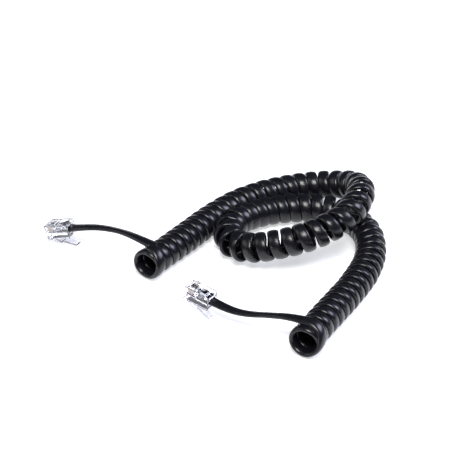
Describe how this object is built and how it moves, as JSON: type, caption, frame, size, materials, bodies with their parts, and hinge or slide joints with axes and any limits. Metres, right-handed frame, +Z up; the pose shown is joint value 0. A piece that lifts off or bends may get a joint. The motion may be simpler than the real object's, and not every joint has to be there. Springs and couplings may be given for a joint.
{
  "type": "curly handset cord",
  "caption": "Coiled flat cord with a straight lead and a clear modular handset plug on each end, each plug with a springy latch lever.",
  "frame": {"origin": "middle of the footprint of the cord as it lies, on the surface it lies on", "axes": "+Z up from the surface, +X from plug A towards the far bend of the coil, +Y from the coil's two open ends towards its back"},
  "size_m": [0.1521, 0.125, 0.0274],
  "materials": {
    "jacket_black": "semi-gloss black PVC",
    "clear_plastic": "clear moulded polycarbonate",
    "contact_gold": "gold plating over phosphor bronze",
    "copper": "bare copper",
    "wire_black": "black insulation",
    "wire_red": "red insulation",
    "wire_green": "green insulation",
    "wire_yellow": "yellow insulation"
  },
  "bodies": {
    "cord": {"cord_coil": "jacket_black", "cord_lead_a": "jacket_black", "cord_lead_b": "jacket_black", "plug_a_housing": "clear_plastic", "plug_a_wire_bar": "clear_plastic", "plug_a_strain_bar": "clear_plastic", "plug_a_jacket_end": "jacket_black", "plug_a_conductor_cores": "copper", "plug_a_contact_1": "contact_gold", "plug_a_contact_2": "contact_gold", "plug_a_contact_3": "contact_gold", "plug_a_contact_4": "contact_gold", "plug_a_conductor_1": "wire_black", "plug_a_conductor_2": "wire_red", "plug_a_conductor_3": "wire_green", "plug_a_conductor_4": "wire_yellow", "plug_b_housing": "clear_plastic", "plug_b_wire_bar": "clear_plastic", "plug_b_strain_bar": "clear_plastic", "plug_b_jacket_end": "jacket_black", "plug_b_conductor_cores": "copper", "plug_b_contact_1": "contact_gold", "plug_b_contact_2": "contact_gold", "plug_b_contact_3": "contact_gold", "plug_b_contact_4": "contact_gold", "plug_b_conductor_1": "wire_black", "plug_b_conductor_2": "wire_red", "plug_b_conductor_3": "wire_green", "plug_b_conductor_4": "wire_yellow"},
    "latch_a": {"plug_a_latch": "clear_plastic"},
    "latch_b": {"plug_b_latch": "clear_plastic"}
  },
  "joints": [
    {"name": "latch_a_bend", "type": "hinge", "parent": "cord", "child": "latch_a", "pos_m": [-0.07055, 0.02304, 0.00137], "axis": [-0.4342, -0.8995, 0.0494], "range_deg": [0, 18], "stiffness_Nm_per_rad": 0.05},
    {"name": "latch_b_bend", "type": "hinge", "parent": "cord", "child": "latch_b", "pos_m": [-0.00887, -0.02845, 0.00613], "axis": [-0.5202, -0.8478, 0.1034], "range_deg": [0, 18], "stiffness_Nm_per_rad": 0.05}
  ]
}
